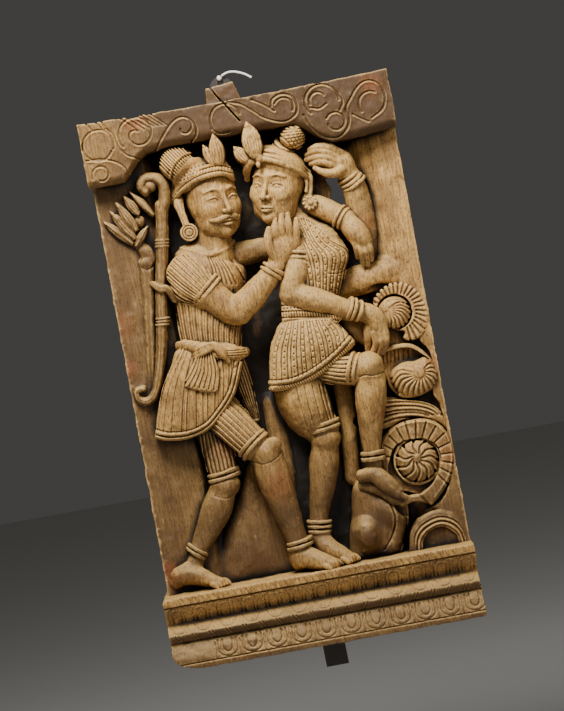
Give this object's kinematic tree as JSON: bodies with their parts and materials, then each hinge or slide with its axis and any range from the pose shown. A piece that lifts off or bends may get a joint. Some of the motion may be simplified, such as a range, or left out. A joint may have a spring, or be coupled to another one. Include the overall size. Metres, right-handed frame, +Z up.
{
  "type": "carved wood relief panel",
  "caption": "Upright carved wood relief panel: an archer and a lady under a scroll band, on a moulded plinth, made to hang from a batten on its back.",
  "frame": {"origin": "on the flat back of the batten, level with the middle of the panel's height and width", "axes": "+Z up along the panel, +Y out of the back into the wall, the carved front faces -Y"},
  "size_m": [0.315, 0.0956, 0.6177],
  "materials": {
    "carved_wood": "aged dry tan wood, darker in the hollows",
    "dark_stained_wood": "dark stained wood",
    "cotton_string": "white cotton string"
  },
  "bodies": {
    "root": {"carved_panel": "carved_wood", "hanging_batten": "dark_stained_wood", "string_knot": "cotton_string", "hanging_string": "cotton_string"}
  },
  "joints": []
}
